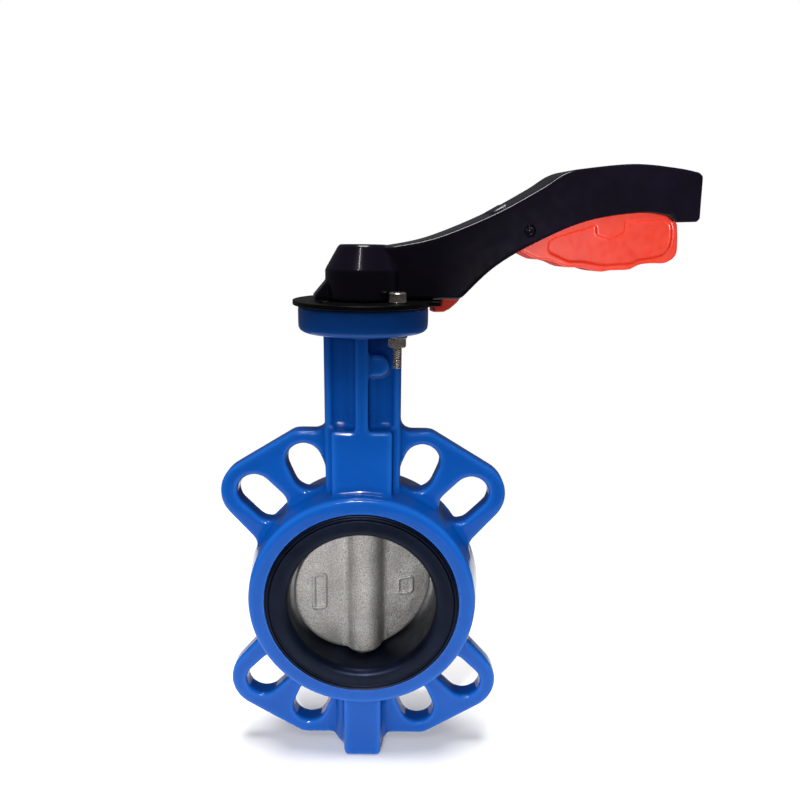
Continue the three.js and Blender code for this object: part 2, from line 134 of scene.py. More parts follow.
def box(x0, x1, y0, y1, z0, z1):
    bm = bmesh.new()
    bmesh.ops.create_cube(bm, size=1)
    middle = Matrix.Translation(((x0 + x1) / 2, (y0 + y1) / 2, (z0 + z1) / 2))
    bm.transform(middle @ Matrix.Diagonal((x1 - x0, y1 - y0, z1 - z0, 1)))
    mesh = bpy.data.meshes.new("box")
    bm.to_mesh(mesh)
    bm.free()
    return mesh


def inset(loop, by):
    """A closed outline moved to its left by a distance, corners mitred."""
    moved_points = []
    for k, (x, y) in enumerate(loop):
        into = Vector((x - loop[k - 1][0], y - loop[k - 1][1])).normalized()
        out = Vector((loop[(k + 1) % len(loop)][0] - x, loop[(k + 1) % len(loop)][1] - y)).normalized()
        side = Vector((-into.y - out.y, into.x + out.x))
        reach = by / (1 + into.dot(out))
        moved_points.append((x + side.x * reach, y + side.y * reach))
    return moved_points


EDGE_STEPS = 4


def prism(outlines, low, high, axis="Y", edge=0.0):
    """Outline and holes in (x, z) carried along Y, or in (x, y) along Z, with rounded edges."""
    loops = []
    for points in outlines:
        loop = [p for k, p in enumerate(points) if math.dist(p, points[k - 1]) > 1e-3]
        turn = sum(a[0] * b[1] - b[0] * a[1] for a, b in zip(loop, loop[1:] + loop[:1]))
        loops.append(loop if (turn > 0) == (points is outlines[0]) else loop[::-1])
    bends = [math.radians(90 * k / EDGE_STEPS) for k in range(EDGE_STEPS + 1)]
    corner = [(edge * (1 - math.sin(a)), edge * (1 - math.cos(a))) for a in bends] if edge else [(0, 0)]
    levels = [(by, low + h) for by, h in corner] + [(by, high - h) for by, h in reversed(corner)]
    bm = bmesh.new()
    skins = [[[bm.verts.new((a, b, h)) for a, b in inset(loop, by)] for by, h in levels] for loop in loops]
    for skin in skins:
        for one, two in zip(skin, skin[1:]):
            for k in range(len(one)):
                bm.faces.new((one[k - 1], one[k], two[k], two[k - 1]))
    for end in (0, -1):
        rims = [v for skin in skins for v in skin[end]]
        for triangle in tessellate_polygon([[v.co for v in skin[end]] for skin in skins]):
            bm.faces.new([rims[k] for k in triangle])
    if axis == "Y":
        for v in bm.verts:
            v.co = (v.co.x, v.co.z, v.co.y)
    bmesh.ops.recalc_face_normals(bm, faces=bm.faces)
    mesh = bpy.data.meshes.new("prism")
    bm.to_mesh(mesh)
    bm.free()
    return mesh


def merged(*meshes):
    """Several meshes put into one, still as separate shells."""
    bm = bmesh.new()
    for mesh in meshes:
        bm.from_mesh(mesh)
        bpy.data.meshes.remove(mesh)
    mesh = bpy.data.meshes.new("shells")
    bm.to_mesh(mesh)
    bm.free()
    return mesh


def cut(mesh, cutter, operation="DIFFERENCE"):
    piece = new_object("work", mesh)
    tool = new_object("tool", cutter)
    modifier = piece.modifiers.new("cut", "BOOLEAN")
    modifier.operation = operation
    modifier.solver = "MANIFOLD"
    modifier.object = tool
    result = baked(piece)
    bpy.data.objects.remove(tool)
    return result


def cast(shells, grain, rounds):
    """Overlapping shells fused into one skin, with every edge and corner rounded as in a mould."""
    piece = new_object("work", shells)
    skin = piece.modifiers.new("skin", "REMESH")
    skin.mode = "VOXEL"
    skin.voxel_size = grain
    soften = piece.modifiers.new("soften", "SMOOTH")
    soften.factor = 0.5
    soften.iterations = rounds
    return baked(piece)


def finished(name, mesh, body, material, nodes=(), crease=35):
    """Scales a mesh from millimetres, shades it, dresses it and hands it to the frame."""
    mesh.transform(Matrix.Scale(MM, 4))
    mesh.shade_smooth()
    mesh.set_sharp_from_angle(angle=math.radians(crease))
    mesh.materials.clear()
    mesh.materials.append(material)
    piece = new_object(name, mesh)
    if nodes:
        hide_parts(*nodes)
    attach(piece, body)
    return piece


def arc(x, y, r, start, end, steps):
    """Points along an arc, angles in degrees."""
    angles = [math.radians(start + (end - start) * i / steps) for i in range(steps + 1)]
    return [(x + r * math.cos(a), y + r * math.sin(a)) for a in angles]


HOLE_STEPS = 48


def round_hole(x, y, r):
    return arc(x, y, r, 0, 360 - 360 / HOLE_STEPS, HOLE_STEPS - 1)


FACE = 23.0
RING_R = 61.5
RING_WAIST_R, RING_WAIST_Y = 65.0, -2.2
BODY_BORE_R = 46.5
LIP_R = 52.5
LIP_SEAT_Y = 20.5
GAP = 0.3
LUG_FRONT, LUG_REAR = -7.7, 3.3
WING_HOLE_R = 54.0
WING_CORNER, WING_ROOT_CORNER = 8.0, 5.5
WING_OUTWARD, WING_INWARD = 58.3, -41.2
SLOT_HALF = 9.5
SLOTS = ((22.5, 74.6, 82.8), (45.0, 71.8, 82.8))
NECK_HALF, NECK_FRONT = 20.0, 18.5
NECK_LOW, NECK_HIGH = 50, 147
NECK_CORE_R = 11.5
WEB_HALF, RIB_HALF = 8, 3.3
SIDE_WALL, SIDE_HALF = 3.8, 10.5
KNOB_X, KNOB_Z, KNOB_R, KNOB_FRONT = 8.3, 130, 5.7, 16.8
PAD_HALF, PAD_TOP = 15.8, 96.0
FLANGE_R, FLANGE_LOW, FLANGE_TOP, FLANGE_ROUND = 33.5, 146.0, 159.4, 2.8
BOLT_AT = 25 * math.sqrt(0.5)
BOTTOM_Z = -100.4
BOSS_X = -1.4
FOOT_HALF, FOOT_ROUND = 10.6, 2.5
BOLT_HOLE_R = 3.5
STEM_R = 6.35
STEM_BORE_R = 6.95
MIDDLE_BUSH_SEAT_R, MIDDLE_BUSH_SEAT_Z = 8.8, 60.3
TOP_BUSH_SEAT_R, TOP_BUSH_SEAT_Z = 9.3, 139.7
STEM_BORE_END = -84


def wing_edge(top, lobe_x, lobe_z, lobe_r):
    """Right edge of one wing, from its long straight side around the lobe and back to the ring."""
    corner = WING_CORNER
    outward, inward = math.radians(WING_OUTWARD), math.radians(WING_INWARD)
    reach = lobe_x * math.cos(outward) + lobe_z * math.sin(outward) + lobe_r
    corner_x = (reach - corner - math.sin(outward) * (top - corner)) / math.cos(outward)
    to_ring = lobe_x * math.cos(inward) + lobe_z * math.sin(inward) + lobe_r + corner
    along = math.sqrt((RING_WAIST_R - 1 + corner) ** 2 - to_ring ** 2)
    x = to_ring * math.cos(inward) - along * math.sin(inward)
    z = to_ring * math.sin(inward) + along * math.cos(inward)
    toward_ring = 180 + math.degrees(math.atan2(z, x))
    return (arc(corner_x, top - corner, corner, 90, WING_OUTWARD, 8)
            + arc(lobe_x, lobe_z, lobe_r, WING_OUTWARD, WING_INWARD, 32)
            + arc(x, z, corner, 180 + WING_INWARD, toward_ring, 12))


def slot_hole(angle, near, far, half):
    """A long hole with round ends along a ray from the bore centre."""
    heading = math.radians(angle)
    x, z = math.cos(heading), math.sin(heading)
    return (arc(far * x, far * z, half, angle - 90, angle + 90, 20)
            + arc(near * x, near * z, half, angle + 90, angle + 270, 20))


upper = arc(25.5, 98.7, WING_ROOT_CORNER, 180, 270, 8) + wing_edge(93.2, 59.4, 57.9, 17.9)
lower = [(x, -z) for x, z in reversed(wing_edge(93.8, 57.2, 57.9, 19.5))]
right_side = upper + lower
left_side = [(-x, z) for x, z in reversed(right_side)]
slots = [slot_hole(side, near, far, SLOT_HALF)
         for angle, near, far in SLOTS
         for side in (90 - angle, 90 + angle, 270 - angle, 270 + angle)]
wings = prism([right_side + left_side, round_hole(0, 0, WING_HOLE_R), *slots], LUG_FRONT, LUG_REAR, edge=1.3)

ring = turned([
    (BODY_BORE_R - 1, -FACE), (RING_R - 1, -FACE), (RING_R, 1 - FACE), (RING_WAIST_R, RING_WAIST_Y),
    (RING_R, FACE - 1), (RING_R - 1, FACE), (BODY_BORE_R - 1, FACE)], "Y", 256)
ring = cut(ring, merged(*[prism([slot], -FACE - 1, FACE + 1) for slot in slots]))

neck = [
    turned([(0, NECK_LOW), (NECK_CORE_R, NECK_LOW), (NECK_CORE_R, NECK_HIGH), (0, NECK_HIGH)], steps=96),
    box(-NECK_HALF, NECK_HALF, -WEB_HALF, WEB_HALF, NECK_LOW, NECK_HIGH),
    box(-RIB_HALF, RIB_HALF, -NECK_FRONT, NECK_FRONT, NECK_LOW, NECK_HIGH),
    box(-NECK_HALF, -NECK_HALF + SIDE_WALL, -SIDE_HALF, SIDE_HALF, NECK_LOW, NECK_HIGH),
    box(NECK_HALF - SIDE_WALL, NECK_HALF, -SIDE_HALF, SIDE_HALF, NECK_LOW, NECK_HIGH),
    box(-PAD_HALF, PAD_HALF, -NECK_FRONT, NECK_FRONT, NECK_LOW, PAD_TOP),
    prism([arc(KNOB_X, KNOB_Z, KNOB_R, -90, 90, 16) + [(0, KNOB_Z + KNOB_R), (0, KNOB_Z - KNOB_R)]],
          -KNOB_FRONT, 0, edge=0.8),
]

flange = turned(
    [(0, FLANGE_LOW)] + arc(FLANGE_R - FLANGE_ROUND, FLANGE_LOW + FLANGE_ROUND, FLANGE_ROUND, -90, 0, 10)
    + [(FLANGE_R, FLANGE_TOP - 0.8), (FLANGE_R - 0.8, FLANGE_TOP), (0, FLANGE_TOP)], steps=192)

boss = moved(turned([
    (0, -NECK_LOW), (17, -NECK_LOW), (17, -93.5), (16.4, -96), (14.6, -98.6), (12, -100.2),
    (0, BOTTOM_Z)], steps=128), BOSS_X)
foot = prism([
    arc(FOOT_HALF - FOOT_ROUND, BOTTOM_Z + FOOT_ROUND, FOOT_ROUND, 0, -90, 6)
    + arc(FOOT_ROUND - FOOT_HALF, BOTTOM_Z + FOOT_ROUND, FOOT_ROUND, -90, -180, 6)
    + [(-FOOT_HALF, -NECK_LOW), (FOOT_HALF, -NECK_LOW)]], -NECK_FRONT, NECK_FRONT, edge=1)

casting = cast(merged(wings, ring, *neck, flange, boss, foot), 1.06, 7)
bolt_corners = [(sx * BOLT_AT, sy * BOLT_AT) for sx in (1, -1) for sy in (1, -1)]
machining = merged(
    turned([(0, -30), (LIP_R + GAP, -30), (LIP_R + GAP, -LIP_SEAT_Y), (BODY_BORE_R, -LIP_SEAT_Y),
            (BODY_BORE_R, LIP_SEAT_Y), (LIP_R + GAP, LIP_SEAT_Y), (LIP_R + GAP, 30), (0, 30)], "Y", 256),
    *[moved(turned([(0, 140), (BOLT_HOLE_R, 140), (BOLT_HOLE_R, 165), (0, 165)], steps=48), x, y)
      for x, y in bolt_corners])
stem_bore = turned([
    (0, STEM_BORE_END), (STEM_BORE_R, STEM_BORE_END), (STEM_BORE_R, -MIDDLE_BUSH_SEAT_Z),
    (MIDDLE_BUSH_SEAT_R, -MIDDLE_BUSH_SEAT_Z), (MIDDLE_BUSH_SEAT_R, -44),
    (MIDDLE_BUSH_SEAT_R, MIDDLE_BUSH_SEAT_Z),
    (STEM_BORE_R, MIDDLE_BUSH_SEAT_Z), (STEM_BORE_R, TOP_BUSH_SEAT_Z),
    (TOP_BUSH_SEAT_R, TOP_BUSH_SEAT_Z), (TOP_BUSH_SEAT_R, 170), (0, 170)], steps=64)
casting = cut(cut(casting, machining), stem_bore)


def linear(code, strength=1.0):
    """An sRGB hex colour as linear light."""
    parts = [int(code[i:i + 2], 16) / 255 for i in (1, 3, 5)]
    return [(c / 12.92 if c <= 0.04045 else ((c + 0.055) / 1.055) ** 2.4) * strength for c in parts] + [1.0]


def add(tree, kind, inputs=None, **settings):
    """Adds a node with its settings and links."""
    made = tree.nodes.new(kind)
    for key, value in settings.items():
        setattr(made, key, value)
    for key, value in (inputs or {}).items():
        if isinstance(value, bpy.types.NodeSocket):
            tree.links.new(value, made.inputs[key])
        else:
            made.inputs[key].default_value = value
    return made


def new_finish(name, **constants):
    """A material with its shader's plain constants set."""
    material = bpy.data.materials.new(name)
    material.use_nodes = True
    tree = material.node_tree
    shader = tree.nodes["Principled BSDF"]
    for key, value in constants.items():
        shader.inputs[key.replace("_", " ")].default_value = value
    place = add(tree, "ShaderNodeTexCoord").outputs["Object"]
    return material, tree, shader, place


def grain(tree, place, size_mm, detail=2.0, roughness=0.5, distortion=0.0):
    """Noise whose lumps are about size_mm across."""
    return add(tree, "ShaderNodeTexNoise", {
        "Vector": place, "Scale": 1 / (size_mm * MM), "Detail": detail,
        "Roughness": roughness, "Distortion": distortion}).outputs["Fac"]


def spread(tree, value, low, high, to_low=0.0, to_high=1.0):
    return add(tree, "ShaderNodeMapRange", {
        "Value": value, "From Min": low, "From Max": high,
        "To Min": to_low, "To Max": to_high}).outputs["Result"]


def tinted(tree, factor, one, two):
    mix = add(tree, "ShaderNodeMix", data_type="RGBA")
    for key, value in (("Factor_Float", factor), ("A_Color", one), ("B_Color", two)):
        socket = next(s for s in mix.inputs if s.identifier == key)
        if isinstance(value, bpy.types.NodeSocket):
            tree.links.new(value, socket)
        else:
            socket.default_value = value
    return next(s for s in mix.outputs if s.identifier == "Result_Color")


def bumped(tree, height, depth_mm, strength=1.0, onto=None):
    inputs = {"Height": height, "Distance": depth_mm * MM, "Strength": strength}
    if onto:
        inputs["Normal"] = onto
    return add(tree, "ShaderNodeBump", inputs).outputs["Normal"]


# Fusion-bonded epoxy over an as-cast surface: a thick glossy blue skin with slight orange peel.
# The film is paler on sharp edges, partly as a thin film and partly as a painted highlight along the edge
# lines; in the corners it keeps the plain, darker film colour.
epoxy, tree, shader, place = new_finish(
    "fusion_bonded_epoxy", Specular_IOR_Level=0.12, Coat_Weight=0.18, Coat_Roughness=0.03)
# Paler colour on convex edges: part thin film, part painted highlight standing in for the lamps' glints
# along the edges.
thin_film_and_painted_highlight_edge = spread(tree, add(tree, "ShaderNodeNewGeometry").outputs["Pointiness"], 0.495, 0.56)
cloud = spread(tree, grain(tree, place, 24, 3), 0.3, 0.7)
film = tinted(tree, cloud, linear("#033F8C"), linear("#054595"))
film = tinted(tree, thin_film_and_painted_highlight_edge, film, linear("#1C5FB8"))
tree.links.new(film, shader.inputs["Base Color"])
tree.links.new(spread(tree, grain(tree, place, 7, 3), 0.3, 0.7, 0.12, 0.2), shader.inputs["Roughness"])
peel = bumped(tree, grain(tree, place, 1.6, 2), 0.04, 0.4)
waves = bumped(tree, grain(tree, place, 7, 2), 0.35, 0.5, peel)
tree.links.new(waves, shader.inputs["Normal"])
finished("body_casting", casting, "body", epoxy, ["valve_body"], 50)

# ---------------------------------------------------------------- seat
# Black EPDM moulded in one piece: a sleeve over the bore with a lip on each face.
# Two fine beads near the lip's edge take up the flange pressure.
SEAT_FACE = 24.5
SEAT_BORE_R = 39.9
LIP_ROUND = 4.6

half_seat = (
    [(BODY_BORE_R - GAP, LIP_SEAT_Y + GAP), (LIP_R, LIP_SEAT_Y + GAP), (LIP_R, SEAT_FACE - 0.9)]
    + arc(LIP_R - 0.5, SEAT_FACE - 0.9, 0.5, 0, 90, 4)[1:]
    + [(51.5, SEAT_FACE - 0.7)] + arc(50.9, SEAT_FACE - 0.4, 0.45, 20, 160, 5)
    + [(50.0, SEAT_FACE - 0.65)] + arc(49.3, SEAT_FACE - 0.35, 0.45, 20, 160, 5)
    + [(48.5, SEAT_FACE - 0.25), (46.5, SEAT_FACE)]
    + arc(SEAT_BORE_R + LIP_ROUND, SEAT_FACE - LIP_ROUND, LIP_ROUND, 90, 180, 16))
seat = turned(half_seat + [(r, -y) for r, y in reversed(half_seat)], "Y", 256)
seat = cut(seat, turned([(0, -60), (STEM_R + GAP, -60), (STEM_R + GAP, 60), (0, 60)], steps=64))

rubber, tree, shader, place = new_finish(
    "moulded_epdm_rubber", Specular_IOR_Level=0.2, Specular_Tint=linear("#A9B8F0"))
bloom = spread(tree, grain(tree, place, 12, 4), 0.35, 0.7)
tree.links.new(tinted(tree, bloom, linear("#02040A"), linear("#060B18")), shader.inputs["Base Color"])
tree.links.new(spread(tree, grain(tree, place, 5, 4), 0.3, 0.7, 0.32, 0.44), shader.inputs["Roughness"])
tree.links.new(bumped(tree, grain(tree, place, 0.9, 3), 0.04, 0.5), shader.inputs["Normal"])
finished("rubber_seat", seat, "body", rubber, ["seat_liner"], 40)


# ---------------------------------------------------------------- stem bearings and seals
# Sintered bronze bushes, a rubber ring and a circlip, pressed into the neck and the boss.
def dress(node, material):
    """Gives a CAD node's slots a better material."""
    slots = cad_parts[node].data.materials
    for i in range(len(slots)):
        slots[i] = material


bronze, tree, shader, place = new_finish("sintered_bronze", Metallic=1.0)
pores = spread(tree, grain(tree, place, 0.6, 4), 0.35, 0.65)
tree.links.new(tinted(tree, pores, linear("#7A5A30"), linear("#B08A50")), shader.inputs["Base Color"])
tree.links.new(spread(tree, pores, 0, 1, 0.5, 0.36), shader.inputs["Roughness"])
for bush in ("upper_bush", "middle_bush", "lower_bush"):
    dress(bush, bronze)
dress("stem_oring", rubber)

spring_steel, tree, shader, place = new_finish("oiled_spring_steel", Metallic=1.0)
scale = spread(tree, grain(tree, place, 1.2, 4), 0.35, 0.7)
tree.links.new(tinted(tree, scale, linear("#6E6E6C"), linear("#9A9995")), shader.inputs["Base Color"])
tree.links.new(spread(tree, scale, 0, 1, 0.28, 0.42), shader.inputs["Roughness"])
dress("stem_circlip", spring_steel)
dress("lever_set_screw", spring_steel)

# ---------------------------------------------------------------- disc
# Stainless investment casting: a flat disc with a hub barrel from top to bottom, bead blasted.
# Two plain raised frames stand on the front; the rim is turned to seal in the rubber.
REST = math.radians(15)
DISC_R = 39.6
HUB_R = 10.8
HUB_END = 38.9
DISC_FACE = 3.4
SOCKET_R = 6.65
DRIVE_LOW, DRIVE_HIGH, DRIVE_HALF = 8.7, 30.3, 5.1

fillet = 5.0
level = DISC_FACE + fillet
root_x = math.sqrt((HUB_R + fillet) ** 2 - level ** 2)
lift = math.degrees(math.atan2(level, root_x))
quarter = arc(root_x, level, fillet, 270, 180 + lift, 8) + arc(0, 0, HUB_R, lift, 90, 12)
half_hub = quarter + [(-x, y) for x, y in reversed(quarter[:-1])]
hub_bar = prism([half_hub + [(x, -y) for x, y in reversed(half_hub)]], -HUB_END - 1, HUB_END + 1, "Z")
hub_end = [(7, HUB_END), (9.4, HUB_END - 0.7), (10.8, HUB_END - 2.4), (15.2, HUB_END - 3.6)]
envelope = turned(
    [(0, HUB_END)] + hub_end + [(r, -z) for r, z in reversed(hub_end)] + [(0, -HUB_END)], steps=96)
disc_edge = [(37.5, 2.7), (38.8, 2.25), (39.4, 1.4), (DISC_R, 0.6)]
plate = turned(
    [(0, -DISC_FACE), (30, -DISC_FACE + 0.1)] + [(r, -y) for r, y in disc_edge]
    + list(reversed(disc_edge)) + [(30, DISC_FACE - 0.1), (0, DISC_FACE)], "Y", 192)


def rounded_box(x0, x1, y0, y1, r, steps=5):
    return (arc(x1 - r, y1 - r, r, 0, 90, steps) + arc(x0 + r, y1 - r, r, 90, 180, steps)
            + arc(x0 + r, y0 + r, r, 180, 270, steps) + arc(x1 - r, y0 + r, r, 270, 360, steps))


def raised_frame(x0, x1, z0, z1, wide):
    outer = rounded_box(x0, x1, z0, z1, 1.8)
    inner = rounded_box(x0 + wide, x1 - wide, z0 + wide, z1 - wide, 1.0)
    return prism([outer, inner], -DISC_FACE - 0.75, -DISC_FACE + 1)


frames = [raised_frame(-29.7, -22.1, -10.1, 11.6, 1.2), raised_frame(19, 28.3, -7.5, 3.3, 1.2)]
disc = cast(merged(plate, cut(hub_bar, envelope, "INTERSECT"), *frames), 0.5, 3)
drive = cut(
    turned([(0, DRIVE_LOW), (SOCKET_R, DRIVE_LOW), (SOCKET_R, DRIVE_HIGH), (0, DRIVE_HIGH)], steps=64),
    box(-10, 10, -DRIVE_HALF, DRIVE_HALF, 0, 40), "INTERSECT")
sockets = merged(
    turned([(0, -45), (SOCKET_R, -45), (SOCKET_R, -11.7), (0, -11.7)], steps=64),
    turned([(0, 30.1), (SOCKET_R, 30.1), (SOCKET_R, 45), (0, 45)], steps=64))
disc = cut(cut(disc, sockets), drive)
disc.transform(Matrix.Rotation(REST, 4, "Z"))

blasted, tree, shader, place = new_finish("blasted_cast_stainless", Metallic=0.9)
beads = grain(tree, place, 0.65, 3, 0.7)
stain = spread(tree, grain(tree, place, 14, 4), 0.3, 0.7)
cast_tone = tinted(tree, stain, linear("#A09E9A"), linear("#BEBCB9"))
cast_tone = tinted(tree, spread(tree, beads, 0.34, 0.58), linear("#72706D"), cast_tone)
tree.links.new(cast_tone, shader.inputs["Base Color"])
tree.links.new(spread(tree, beads, 0.3, 0.7, 0.38, 0.6), shader.inputs["Roughness"])
tree.links.new(bumped(tree, beads, 0.5, 1.0), shader.inputs["Normal"])
finished("blasted_disc", disc, "turning", blasted, ["disc"], 50)

# ---------------------------------------------------------------- stems
# Turned stainless bar; fine tool marks run round it.
turned_steel, tree, shader, place = new_finish("turned_stainless", Metallic=1.0)
stretched = add(tree, "ShaderNodeMapping", {"Vector": place, "Scale": (0.2, 0.2, 6)}).outputs["Vector"]
marks = grain(tree, stretched, 1.5, 3)
bright_bar = tinted(tree, spread(tree, marks, 0.3, 0.7), linear("#A9A9A7"), linear("#CFCFCC"))
tree.links.new(bright_bar, shader.inputs["Base Color"])
tree.links.new(spread(tree, marks, 0.3, 0.7, 0.2, 0.34), shader.inputs["Roughness"])
tree.links.new(bumped(tree, marks, 0.02, 0.4), shader.inputs["Normal"])
dress("upper_stem", turned_steel)
dress("lower_stem", turned_steel)

# ---------------------------------------------------------------- index plate
# Pressed steel plate, black powder coated, with seven notches around a quarter of its rim.
PLATE_LOW, PLATE_HIGH = 159.6, 161.8
PLATE_R, SECTOR_R, NOTCH_R, NOTCH_HALF = 36.1, 40.2, 36.2, 2.6

notch_outer = math.degrees(math.asin(NOTCH_HALF / SECTOR_R))
notch_inner = math.degrees(math.asin(NOTCH_HALF / NOTCH_R))
rim = arc(0, 0, PLATE_R, 104, 346, 96)
start = -14.0
for notch in range(0, 91, 15):
    rim += arc(0, 0, SECTOR_R, start, notch - notch_outer, 8)
    rim += arc(0, 0, NOTCH_R, notch - notch_inner, notch + notch_inner, 4)
    start = notch + notch_outer
rim += arc(0, 0, SECTOR_R, start, 104, 8)
holes = [round_hole(0, 0, STEM_R + 2)] + [round_hole(x, y, BOLT_HOLE_R) for x, y in bolt_corners]
index_plate = prism([rim, *holes], PLATE_LOW, PLATE_HIGH, "Z", 0.25)

coated, tree, shader, place = new_finish("black_powder_coat", Specular_IOR_Level=0.15)
dust = spread(tree, grain(tree, place, 9, 4), 0.4, 0.75)
tree.links.new(tinted(tree, dust, linear("#030304"), linear("#08080A")), shader.inputs["Base Color"])
tree.links.new(spread(tree, grain(tree, place, 3, 3), 0.3, 0.7, 0.26, 0.42), shader.inputs["Roughness"])
tree.links.new(bumped(tree, grain(tree, place, 0.8, 2), 0.05, 0.5), shader.inputs["Normal"])
finished("index_plate", index_plate, "body", coated, ["notch_plate"], 30)


# ---------------------------------------------------------------- plate screws, washers and nuts
# M5 socket head screws through plate and flange, front right and rear left, zinc plated.
# A plain washer and a chamfered nut hold each from below; ten turns of thread hang free.
def thread(r, pitch, low, high, steps=40):
    """A rod with a real screw thread, pointed turns one pitch apart."""
    depth = 0.5 * pitch
    levels = int((high - low) / pitch * 6)
    profile = [(0, low)] + [(r, low + (high - low) * i / levels) for i in range(levels + 1)] + [(0, high)]

    def turn_depth(a, reach, h):
        phase = ((h - low) / pitch - a / (2 * math.pi)) % 1
        lead = min(1, (h - low) / pitch + 0.3)
        return -depth * abs(2 * phase - 1) - (1 - lead) * 0.4

    return turned(profile, steps=steps, ripple=turn_depth)


def hexagon(across_flats, turned_by=0):
    return arc(0, 0, across_flats / math.sqrt(3), turned_by, turned_by + 300, 5)


HEAD_LOW = 162.0
HEAD_R = 4.25
HEAD_TOP = HEAD_LOW + 5
SHANK_R, THREAD_R, PITCH = 2.3, 2.45, 1.0
SCREW_TIP, THREAD_TOP = 129.6, 147


def knurl(a, r, h):
    """Straight knurling around the side of the head, none on its end faces."""
    side = 1 if r > HEAD_R - 0.05 and HEAD_LOW + 0.5 < h < HEAD_TOP - 0.5 else 0
    return -0.2 * side * abs(math.sin(14 * a))


head = turned([
    (0, HEAD_LOW), (4.0, HEAD_LOW), (HEAD_R, HEAD_LOW + 0.3), (HEAD_R, HEAD_LOW + 0.6),
    (HEAD_R, HEAD_TOP - 0.7), (HEAD_R, HEAD_TOP - 0.5), (3.8, HEAD_TOP), (0, HEAD_TOP)],
    steps=168, ripple=knurl)
head = cut(head, prism([hexagon(4)], HEAD_TOP - 2.5, HEAD_TOP + 2, "Z"))
shank = turned([
    (0, THREAD_TOP - 1), (SHANK_R, THREAD_TOP - 1), (SHANK_R, HEAD_LOW + 1), (0, HEAD_LOW + 1)], steps=48)
screw = cut(cut(head, shank, "UNION"), thread(THREAD_R, PITCH, SCREW_TIP, THREAD_TOP), "UNION")

WASHER_TOP = 145.8
washer = turned([
    (2.8, WASHER_TOP - 1), (4.8, WASHER_TOP - 1), (5, WASHER_TOP - 0.8), (5, WASHER_TOP - 0.2),
    (4.8, WASHER_TOP), (2.8, WASHER_TOP)], steps=64)

NUT_TOP, NUT_LOW = 144.6, 140.1
nut_chamfer = turned([
    (0, NUT_LOW), (3.8, NUT_LOW), (4.7, NUT_LOW + 0.6), (4.7, NUT_TOP - 0.6), (3.8, NUT_TOP),
    (0, NUT_TOP)], steps=72)
nut = cut(prism([hexagon(8, 16)], NUT_LOW - 1, NUT_TOP + 1, "Z"), nut_chamfer, "INTERSECT")
nut = cut(nut, turned([
    (0, 130), (3.2, 130), (3.2, NUT_LOW), (2.8, NUT_LOW + 0.5), (2.8, NUT_TOP - 0.5), (3.2, NUT_TOP),
    (3.2, 150), (0, 150)], steps=48))

zinc, tree, shader, place = new_finish("zinc_plating", Metallic=0.8)
patches = spread(tree, grain(tree, place, 2.2, 4), 0.35, 0.7)
tree.links.new(tinted(tree, patches, linear("#9C948C"), linear("#C8C0B8")), shader.inputs["Base Color"])
tree.links.new(spread(tree, grain(tree, place, 1.1, 3), 0.3, 0.7, 0.18, 0.3), shader.inputs["Roughness"])
tree.links.new(bumped(tree, grain(tree, place, 0.5, 3), 0.015, 0.3), shader.inputs["Normal"])

corner_pair = bpy.data.node_groups.new("corner_pair", "GeometryNodeTree")
for label, kind in (
        ("Part", "NodeSocketObject"), ("Corner", "NodeSocketFloat"), ("Finish", "NodeSocketMaterial")):
    corner_pair.interface.new_socket(label, in_out="INPUT", socket_type=kind)
corner_pair.interface.new_socket("Geometry", in_out="OUTPUT", socket_type="NodeSocketGeometry")
given = add(corner_pair, "NodeGroupInput").outputs
opposite = add(corner_pair, "ShaderNodeMath", {0: given["Corner"], 1: -1.0}, operation="MULTIPLY").outputs[0]
front = add(corner_pair, "ShaderNodeCombineXYZ", {"X": given["Corner"], "Y": opposite}).outputs[0]
rear = add(corner_pair, "ShaderNodeCombineXYZ", {"X": opposite, "Y": given["Corner"]}).outputs[0]
line = add(corner_pair, "GeometryNodeMeshLine", {
    "Count": 2, "Start Location": front, "Offset": rear}, mode="END_POINTS")
fixing = add(corner_pair, "GeometryNodeObjectInfo", {"Object": given["Part"]}).outputs["Geometry"]
copies = add(corner_pair, "GeometryNodeInstanceOnPoints", {"Points": line.outputs[0], "Instance": fixing})
solid = add(corner_pair, "GeometryNodeRealizeInstances", {"Geometry": copies.outputs[0]}).outputs[0]
dressed = add(corner_pair, "GeometryNodeSetMaterial", {
    "Geometry": solid, "Material": given["Finish"]}).outputs[0]
add(corner_pair, "NodeGroupOutput", {"Geometry": dressed})
pair_inputs = {
    item.name: item.identifier for item in corner_pair.interface.items_tree if item.in_out == "INPUT"}


def at_both_corners(mesh):
    """One fixing repeated at the two corners of the bolt circle that the lever never sweeps."""
    part = new_object("part", mesh)
    holder = new_object("holder", bpy.data.meshes.new("holder"))
    modifier = holder.modifiers.new("pair", "NODES")
    modifier.node_group = corner_pair
    modifier[pair_inputs["Part"]] = part
    modifier[pair_inputs["Corner"]] = BOLT_AT
    modifier[pair_inputs["Finish"]] = zinc
    pair = baked(holder)
    bpy.data.objects.remove(part)
    return pair


for name, mesh in (("screw", screw), ("washer", washer), ("nut", nut)):
    finished(f"plate_{name}s", at_both_corners(mesh), "body", zinc,
             [f"plate_{name}_front", f"plate_{name}_rear"], 30)

# ---------------------------------------------------------------- lever
# Die-cast arm, open underneath, on a tapered hub that grips the stem's square; gloss black enamel.
# A small pad on top of the arm and a fin behind the hub are cast on.
ARM_HALF = 11.0
WALL = 2.8
LEVER_LOW = 162.1
HUB_TOP = 189.4
PIVOT_X, PIVOT_Z = 86.0, 197.0
PIN_HOLE_R = 3.3
SQUARE_HALF, SQUARE_TOP = 5.05, 188
GRUB_HOLE_R, GRUB_Z = 3.15, 175
DISH_R, DISH_FLOOR = 7.4, 187


